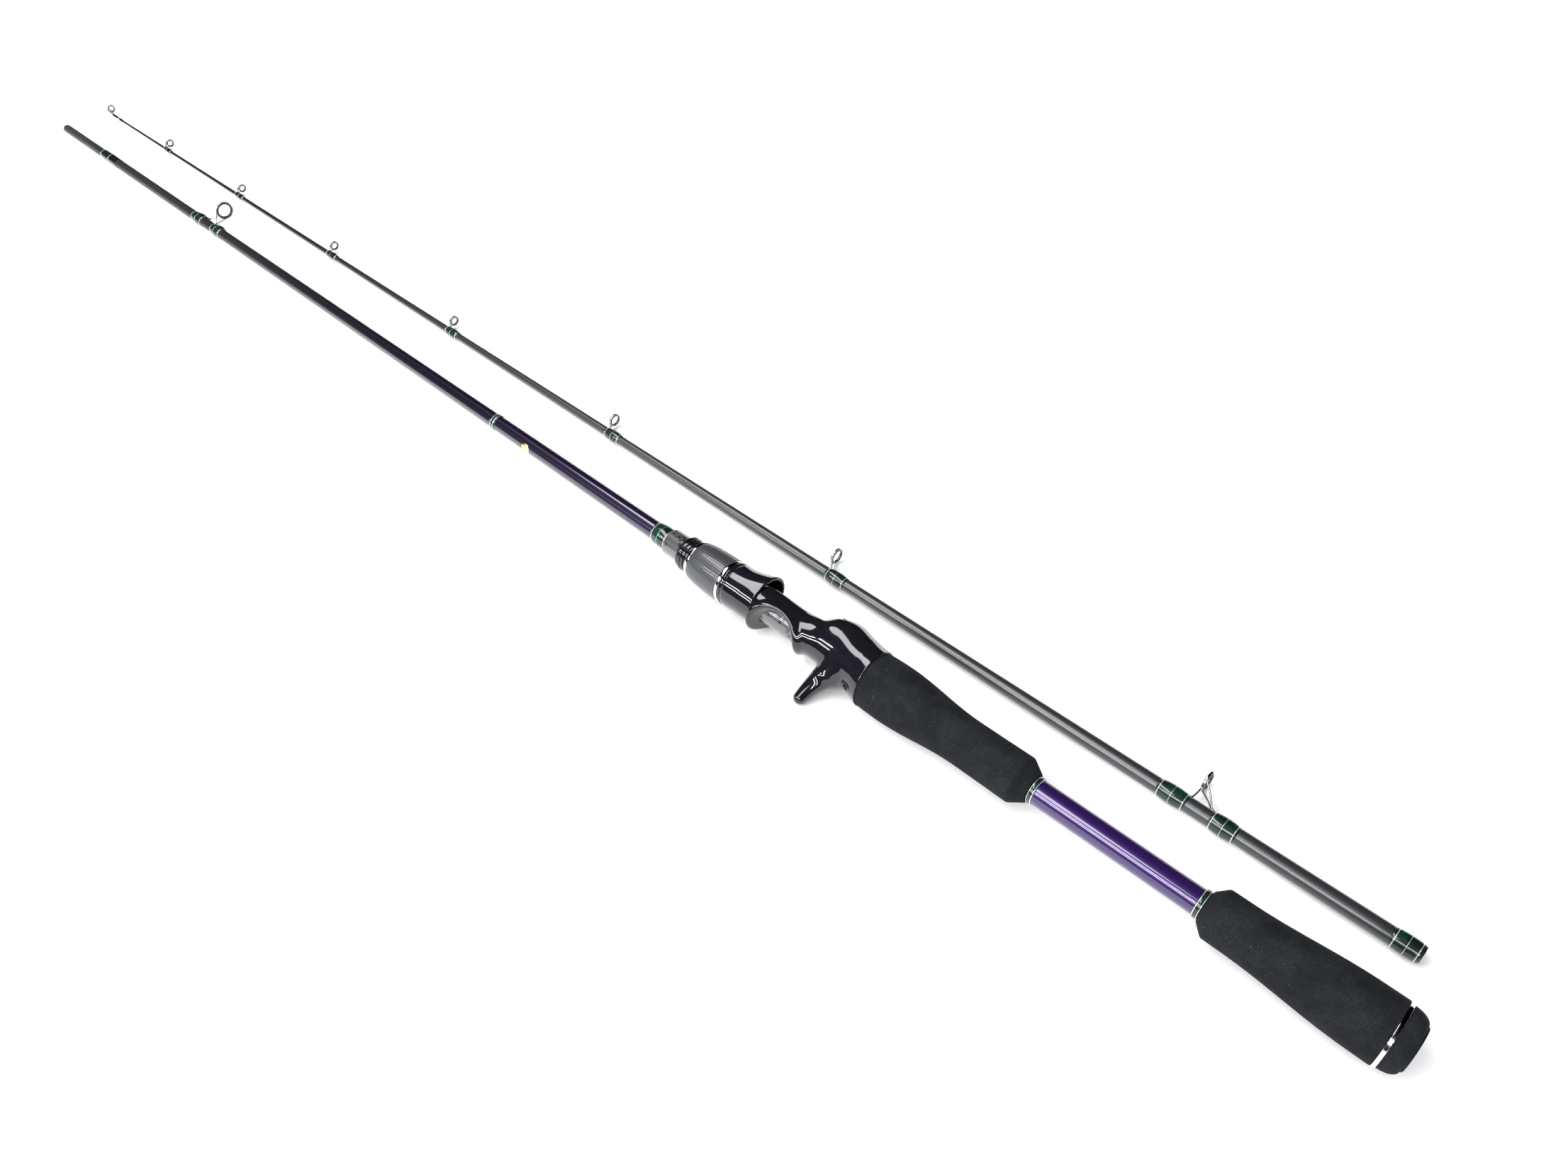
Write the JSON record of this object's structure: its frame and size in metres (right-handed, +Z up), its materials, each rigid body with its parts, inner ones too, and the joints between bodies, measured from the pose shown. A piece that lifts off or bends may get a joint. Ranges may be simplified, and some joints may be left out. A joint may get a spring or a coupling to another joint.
{
  "type": "baitcasting fishing rod",
  "caption": "Two-piece baitcasting rod lying in its two sections, with trigger reel seat, foam grips, purple blank and wound line guides.",
  "frame": {"origin": "centre of the ground rectangle that the two laid-down sections cover", "axes": "+X towards the butt end, along both sections; +Y from the butt section towards the tip section, the side that the guides point to; +Z up"},
  "size_m": [1.21, 0.0983, 0.0299],
  "materials": {
    "purple_blank": "clear-coated carbon, deep purple fading to charcoal",
    "carbon_blank": "unsanded carbon with spiral tape ridges",
    "green_winding": "dark green thread under epoxy",
    "silver_thread": "metallic thread under epoxy",
    "teal_thread": "bright teal thread under epoxy",
    "gold_foil": "plain gold foil",
    "guide_steel": "polished stainless wire",
    "guide_ceramic": "polished ceramic",
    "bright_trim": "polished",
    "carbon_weave": "carbon weave under clear coat",
    "arbor_foam": "foamed",
    "gloss_black": "gloss black",
    "black_nylon": "moulded",
    "eva_foam": "fine closed-cell foam, matt"
  },
  "bodies": {
    "butt_section": {"butt_blank": "purple_blank", "spigot_core": "carbon_blank", "ferrule_winding": "green_winding", "ferrule_silver_threads": "silver_thread", "butt_guide_frame": "guide_steel", "butt_guide_ring": "guide_ceramic", "butt_guide_windings": "green_winding", "butt_guide_threads": "silver_thread", "band_winding": "green_winding", "band_silver_threads": "silver_thread", "gold_sticker": "gold_foil", "seat_front_winding": "green_winding", "seat_front_silver_threads": "silver_thread", "seat_front_teal_thread": "teal_thread", "seat_pipe": "carbon_weave", "seat_arbors": "arbor_foam", "reel_seat_body": "gloss_black", "fore_grip": "eva_foam", "fore_trim_winding": "green_winding", "fore_trim_threads": "silver_thread", "rear_trim_winding": "green_winding", "rear_trim_threads": "silver_thread", "rear_grip": "eva_foam", "butt_ring": "bright_trim", "butt_cap": "eva_foam"},
    "hood": {"sliding_hood": "gloss_black", "hood_liner": "black_nylon"},
    "lock_nut": {"lock_nut_core": "black_nylon", "lock_nut_sleeve": "carbon_weave", "lock_nut_front_ring": "bright_trim", "lock_nut_rear_ring": "bright_trim"},
    "tip_section": {"tip_blank": "carbon_blank", "socket_winding": "green_winding", "socket_threads": "silver_thread", "stripper_frame": "guide_steel", "stripper_ring": "guide_ceramic", "stripper_windings": "green_winding", "stripper_threads": "silver_thread", "guide_1_frame": "guide_steel", "guide_2_frame": "guide_steel", "guide_3_frame": "guide_steel", "guide_4_frame": "guide_steel", "guide_5_frame": "guide_steel", "guide_6_frame": "guide_steel", "guide_1_ring": "guide_ceramic", "guide_2_ring": "guide_ceramic", "guide_3_ring": "guide_ceramic", "guide_4_ring": "guide_ceramic", "guide_5_ring": "guide_ceramic", "guide_6_ring": "guide_ceramic", "guide_1_winding": "green_winding", "guide_2_winding": "green_winding", "guide_3_winding": "green_winding", "guide_4_winding": "green_winding", "guide_5_winding": "green_winding", "guide_6_winding": "green_winding", "guide_threads": "silver_thread", "tip_top_frame": "guide_steel", "tip_top_ring": "guide_ceramic", "tip_top_winding": "green_winding"}
  },
  "joints": [
    {"name": "hood_slide", "type": "slide", "parent": "butt_section", "child": "hood", "axis": [-1, 0, 0], "range_m": [0, 0.00875]},
    {"name": "nut_spin", "type": "hinge", "parent": "hood", "child": "lock_nut", "pos_m": [0.24675, -0.02058, 0.0149], "axis": [-1, 0, 0], "range_deg": [0, 1270]},
    {"name": "tip_section_lift", "type": "slide", "parent": "butt_section", "child": "tip_section", "axis": [0, 0, 1], "range_m": [0, 0.25]}
  ],
  "couplings": [
    {"joint": "nut_spin", "follows": "hood_slide", "rad_per_m": 2513.3}
  ]
}
